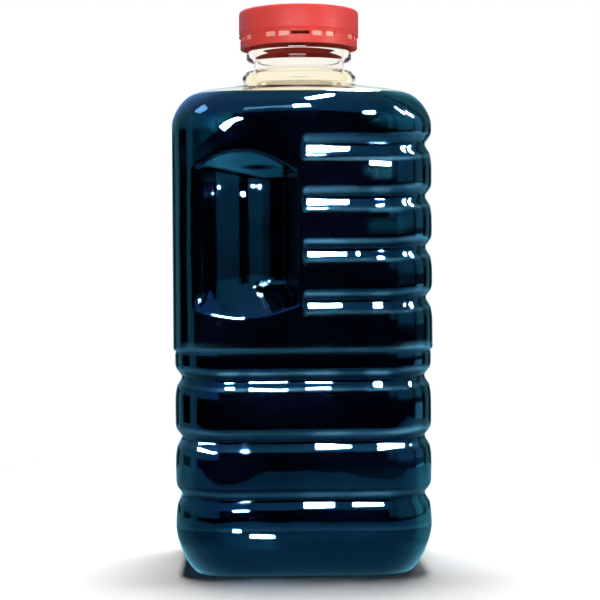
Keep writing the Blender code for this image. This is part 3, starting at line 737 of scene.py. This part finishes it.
# Above the syrup the plastic is stained a little, most in the collar.
SHOULDER_STAIN, COLLAR_STAIN, NECK_STAIN = (0.99, 0.965, 0.86), (0.985, 0.93, 0.76), (0.985, 0.96, 0.91)
clear, _, clear_surface = plastic(
    "clear_plastic", NECK_STAIN, 1.08, 1.0, 0.00004,
    color_change=0.01, roughness=0.02, roughness_change=0.005,
)
along = nodes.new("ShaderNodeSeparateXYZ")
links.new(nodes.new("ShaderNodeTexCoord").outputs["Object"], along.inputs[0])
shoulder_stain, neck_stain = nodes.new("ShaderNodeMix"), nodes.new("ShaderNodeMix")
for stain, low, high, below, above in (
    (shoulder_stain, 0.2035, 0.2055, SHOULDER_STAIN, COLLAR_STAIN),
    (neck_stain, 0.2100, 0.2125, COLLAR_STAIN, NECK_STAIN),
):
    stain.data_type = "RGBA"
    links.new(ramp(along.outputs["Z"], low, high, 0.0, 1.0), stain.inputs["Factor"])
    stain.inputs["A"].default_value = (*below, 1.0)
    stain.inputs["B"].default_value = (*above, 1.0)
links.new(shoulder_stain.outputs["Result"], neck_stain.inputs["A"])
links.new(neck_stain.outputs["Result"], clear_surface.inputs["Color"])
wetted, wetted_shader, _ = plastic(
    "clear_plastic_over_syrup", (0.97, 0.97, 0.97), 1.57, 1.0, 0.00012,
    color_change=0.01, roughness=0.012, roughness_change=0.004,
)
wetted_shader.inputs["Specular Tint"].default_value = (0.12, 0.36, 0.62, 1.0)
shell.materials.append(clear)
shell.materials.append(wetted)
outer_points = len(outer_rows) * len(columns)
for face in shell.polygons:
    if min(face.vertices) < outer_points and face.center.z < LEVEL * MM:
        face.material_index = 1


# Molasses. A near black navy syrup that fills the bottle up to its shoulder. Its outside reaches
# a third of a millimetre into the wall, so that no air shows between them.
SYRUP_INSET = 0.55
close_rows = wall_rows(0.52, 2.2)
syrup_rows = [row for row in close_rows if row[1] < LEVEL - 0.6]
sides = wall(syrup_rows, SYRUP_INSET)
above = wall([close_rows[len(syrup_rows)]], SYRUP_INSET)[0]
share = (LEVEL - sides[-1][:, 2]) / (above[:, 2] - sides[-1][:, 2])
rim = sides[-1] + (above - sides[-1]) * share[:, None]
top_rows = [rim]
for share, drop in ((0.985, 0.25), (0.96, 0.42), (0.9, 0.5), (0.6, 0.5), (0.25, 0.5)):
    top_rows.append(rim * (share, share, 1.0) - (0.0, 0.0, drop))
syrup = grid_mesh("syrup", np.concatenate([sides, np.array(top_rows)]), (6.55, LEVEL - 0.5))
molasses = bpy.data.objects.new("syrup", syrup)
bpy.context.scene.collection.objects.link(molasses)
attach(molasses, "root")
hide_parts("molasses")


# Painted reflections: blue green colour in the syrup stands in for the light and reflections seen
# in the wall. It lies along the flanks of the grooves, at the heel and in the pocket's lens.
def between(value, low, high, blend):
    """One between two limits, softly falling to nothing at them."""
    return smooth((value - low) / blend) * smooth((high - value) / blend)


painted_reflection_tone = np.zeros((*sides.shape[:2], 3))
straight = np.array([row[1] for row in syrup_rows])[:, None]
x, z = sides[:, :, 0], sides[:, :, 2]
flare = np.clip(corner_side, 0.0, 1.0)[None]
# Painted reflection colour, for the lines and patches below.
REFLECTION_BLUE_GREEN = np.array((0.30, 1.0, 1.6))
# For each groove: its middle, then the place above it, the width and the strength of the painted
# reflection line on its upper flank, and the place below it and the strength of the thin painted
# reflection line on its lower flank.
for middle, up, width, strength, down, low_strength in (
    (RIBS[0], 2.7, 1.15, 0.062, -5.6, 0.034),
    (RIBS[1], 3.4, 0.90, 0.070, -4.5, 0.030),
    (RIBS[2], 3.7, 0.60, 0.100, -4.0, 0.030),
    (RIBS[3], 3.3, 0.60, 0.110, -4.4, 0.024),
    (WAIST, 0.2, 0.90, 0.100, 0.0, 0.0),
    (RINGS[0], 3.5, 0.60, 0.105, -3.3, 0.026),
    (RINGS[1], 4.0, 0.65, 0.065, -2.5, 0.008),
    (RINGS[2], 2.9, 0.80, 0.040, -3.0, 0.0),
):
    spread_out = 1.0 + 0.6 * flare
    share = strength * np.exp(-(((straight - middle - up - 0.8 * flare) / (width * spread_out)) ** 2))
    share = share + low_strength * np.exp(-(((straight - middle - down) / 0.55) ** 2))
    if middle in RIBS:
        share = share * smooth((x + 0.9) / 2.9)
    painted_reflection_tone += share[:, :, None] * REFLECTION_BLUE_GREEN
# A painted highlight along the heel's crease.
crease_highlight = 0.012 * np.exp(-(((straight - 20.4) / 0.5) ** 2)) * np.ones_like(x)
painted_reflection_tone += crease_highlight[:, :, None] * REFLECTION_BLUE_GREEN


def painted_reflection_patch(left, right, low, high, blur_x, blur_z, colour):
    """A soft patch of painted reflection on the side walls, between those limits in millimetres."""
    share = between(x, left, right, blur_x) * between(z, low, high, blur_z) * (np.abs(normal[:, 1]) > 0.5)
    painted_reflection_tone[:] += share[:, :, None] * np.array(colour)


# Painted reflections round the corners, low down and on the shoulder.
far_side = flare * smooth((np.abs(normal[None, :, 0]) - 0.55) / 0.2)
corner_reflection = 0.5 * far_side * smooth((52.0 - z) / 14.0) + 0.18 * flare * smooth((z - 185.0) / 12.0)
painted_reflection_tone += corner_reflection[:, :, None] * np.array((0.002, 0.030, 0.036))
# Painted reflections in patches: on the heel, low and high on the right, along the pocket's front wall and at
# the right shoulder.
painted_reflection_patch(-60.0, 60.0, 11.0, 20.6, 1.0, 4.0, (0.0006, 0.0070, 0.0150))
painted_reflection_patch(-5.0, 60.0, 34.0, 46.0, 8.0, 3.0, (0.0, 0.0016, 0.0025))
painted_reflection_patch(-6.2, -2.0, 118.0, 167.0, 1.0, 1.5, (0.0015, 0.0070, 0.012))
painted_reflection_patch(24.0, 38.0, 161.0, 167.5, 3.0, 2.5, (0.0010, 0.0065, 0.010))
painted_reflection_patch(24.5, 44.0, 140.0, 146.5, 4.0, 2.0, (0.0010, 0.0100, 0.016))
painted_reflection_patch(25.0, 42.0, 147.8, 150.3, 4.0, 0.8, (0.0030, 0.0170, 0.027))
painted_reflection_patch(27.0, 50.0, 183.0, 188.5, 6.0, 2.0, (0.0010, 0.0110, 0.018))
# A painted reflection on the wall above the pocket.
over_slope = smooth((z - 172.7 - 0.856 * (x + 44.0)) / 1.5)
reflection_over_pocket = between(x, -47.0, -27.0, 2.0) * over_slope * smooth((189.0 - z) / 3.0)
painted_reflection_tone += (reflection_over_pocket * (np.abs(normal[:, 1]) > 0.5))[:, :, None] * np.array((0.0012, 0.0150, 0.026))
foot, ledge, ceiling, top = pocket_lines(x)
# A painted reflection in the pocket's ceiling, left out in a dark slit, and a fainter one under the ceiling.
lens = smooth((z - ceiling + 0.8) / 1.0) * smooth((top - 0.4 - z) / 1.0) * between(x, -40.6, -7.2, 2.0)
slit = np.clip(1.0 - ((x + 18.0) / 7.4) ** 2 - ((z - 167.2) / 1.1) ** 2, 0.0, 1.0) ** 0.5
painted_reflection_tone += (lens * (1.0 - slit))[:, :, None] * np.array((0.040, 0.24, 0.38))
under_lens = between(x, -41.2, -23.5, 1.2) * smooth((ceiling - 1.8 - z) / 0.8) * smooth((z - 160.8) / 1.0)
painted_reflection_tone += (under_lens * (np.abs(normal[:, 1]) > 0.5))[:, :, None] * np.array((0.0015, 0.009, 0.0145))
# The painted reflections lie in a colour attribute over the syrup's own near black navy.
painted_reflection = syrup.color_attributes.new("painted_reflection", "FLOAT_COLOR", "POINT")
colours = np.zeros((len(syrup.vertices), 4))
colours[:, :3] = (0.00015, 0.0003, 0.0012)
colours[: x.size, :3] += painted_reflection_tone.reshape(-1, 3)
colours[:, 3] = 1.0
painted_reflection.data.foreach_set("color", colours.ravel())
body_of_syrup, body_shader, body_surface = plastic(
    "syrup_behind_wall", (0.0001, 0.0003, 0.0013), 1.45, 0.0, 0.00002, color_change=0.15, roughness=0.6
)
body_shader.inputs["Specular IOR Level"].default_value = 0.0
painted_reflection_node = nodes.new("ShaderNodeAttribute")
painted_reflection_node.attribute_name = "painted_reflection"
links.new(painted_reflection_node.outputs["Color"], body_surface.inputs["Color"])
top_of_syrup, _, _ = plastic(
    "syrup_surface", (0.0004, 0.001, 0.004), 1.48, 0.0, 0.00002, color_change=0.15, roughness=0.05
)
syrup.materials.append(body_of_syrup)
syrup.materials.append(top_of_syrup)
for face in syrup.polygons:
    if face.center.z > (LEVEL - 0.6) * MM and face.normal.z > 0.9:
        face.material_index = 1


# Cap. Red moulded polypropylene: a plain skirt over a tamper band, turned in fine steps with
# rounded edges. A slit goes through the band in the middle of each quarter, and on both sides of
# it two windows are cut as far as a thin floor, painted pale pink as painted light seen through them.
cap_outline = rounded(
    [
        (0.0, 237.0, 0.0),
        (25.75, 237.0, 1.5),
        (25.75, 227.4, 0.15),
        (25.25, 226.9, 0.2),
        (25.75, 226.4, 0.15),
        (25.75, 225.8, 0.2),
        (25.2, 225.4, 0.2),
        (25.2, 220.7, 0.3),
        (23.9, 220.7, 0.2),
        (23.9, 225.8, 0.2),
        (24.1, 226.9, 0.2),
        (24.1, 235.5, 0.4),
        (0.0, 235.5, 0.0),
    ]
)
cap_data = bpy.data.meshes.new("red_cap")
cap_edges = [(place, place + 1) for place in range(len(cap_outline) - 1)]
cap_data.from_pydata([(r * MM, 0.0, z * MM) for r, z in cap_outline], cap_edges, [])
cap = bpy.data.objects.new("red_cap", cap_data)
bpy.context.scene.collection.objects.link(cap)
screw = cap.modifiers.new("turned", "SCREW")
screw.axis = "Z"
screw.steps = 144
screw.render_steps = 144
screw.use_merge_vertices = True
screw.merge_threshold = 0.00001
windows = bmesh.new()
WINDOW_FLOOR, SLIT_FLOOR, CUT = 24.5, 22.5, 4.0
for quadrant in range(4):
    for offset, width, height, z, floor in (
        (-30.0, 4.7, 2.2, 224.7, WINDOW_FLOOR),
        (-16.0, 4.6, 2.2, 224.7, WINDOW_FLOOR),
        (0.0, 7.8, 1.4, 224.9, SLIT_FLOOR),
        (16.8, 4.6, 2.2, 224.7, WINDOW_FLOOR),
        (30.4, 4.2, 2.2, 224.7, WINDOW_FLOOR),
    ):
        spin = Matrix.Rotation(math.radians(90.0 * quadrant - 90.0 + offset), 4, "Z")
        size = Matrix.Diagonal((CUT * MM, width * MM, height * MM, 1.0))
        there = Matrix.Translation(((floor + CUT / 2.0) * MM, 0.0, z * MM))
        bmesh.ops.create_cube(windows, size=1.0, matrix=spin @ there @ size)
window_data = bpy.data.meshes.new("windows")
windows.to_mesh(window_data)
windows.free()
cutter = bpy.data.objects.new("windows", window_data)
bpy.context.scene.collection.objects.link(cutter)
cut = cap.modifiers.new("windows", "BOOLEAN")
cut.operation = "DIFFERENCE"
cut.solver = "EXACT"
cut.object = cutter
bpy.context.view_layer.update()
finished = bpy.data.meshes.new_from_object(cap.evaluated_get(bpy.context.evaluated_depsgraph_get()))
cap.modifiers.clear()
cap.data = finished
bpy.data.objects.remove(cutter, do_unlink=True)
finished.shade_smooth()
finished.set_sharp_from_angle(angle=math.radians(35.0))
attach(cap, "root")
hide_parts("cap")
red_pieces.objects.link(cap)
red, red_shader, _ = plastic(
    "red_plastic", (0.72, 0.060, 0.050), 1.49, 0.0, 0.00003,
    color_change=0.03, roughness=0.42, roughness_change=0.05, grain_scale=900.0, grain=0.6,
)
red_shader.inputs["Specular IOR Level"].default_value = 0.25
# Painted light: the windows' pale pink floor stands in for the brightness seen through them.
window_floor_painted_light, _, _ = plastic(
    "red_plastic_painted_light", (0.90, 0.36, 0.28), 1.49, 0.0, 0.00003,
    color_change=0.03, roughness=0.42, roughness_change=0.05, grain_scale=900.0, grain=0.6,
)
finished.materials.clear()
finished.materials.append(red)
finished.materials.append(window_floor_painted_light)
for face in finished.polygons:
    middle = face.center
    outward = face.normal.x * middle.x + face.normal.y * middle.y
    radius = math.hypot(middle.x, middle.y) / MM
    is_window_floor = outward > 0.02 and 24.3 < radius < 24.9 and 223.0 < middle.z / MM < 226.0
    face.material_index = int(is_window_floor)
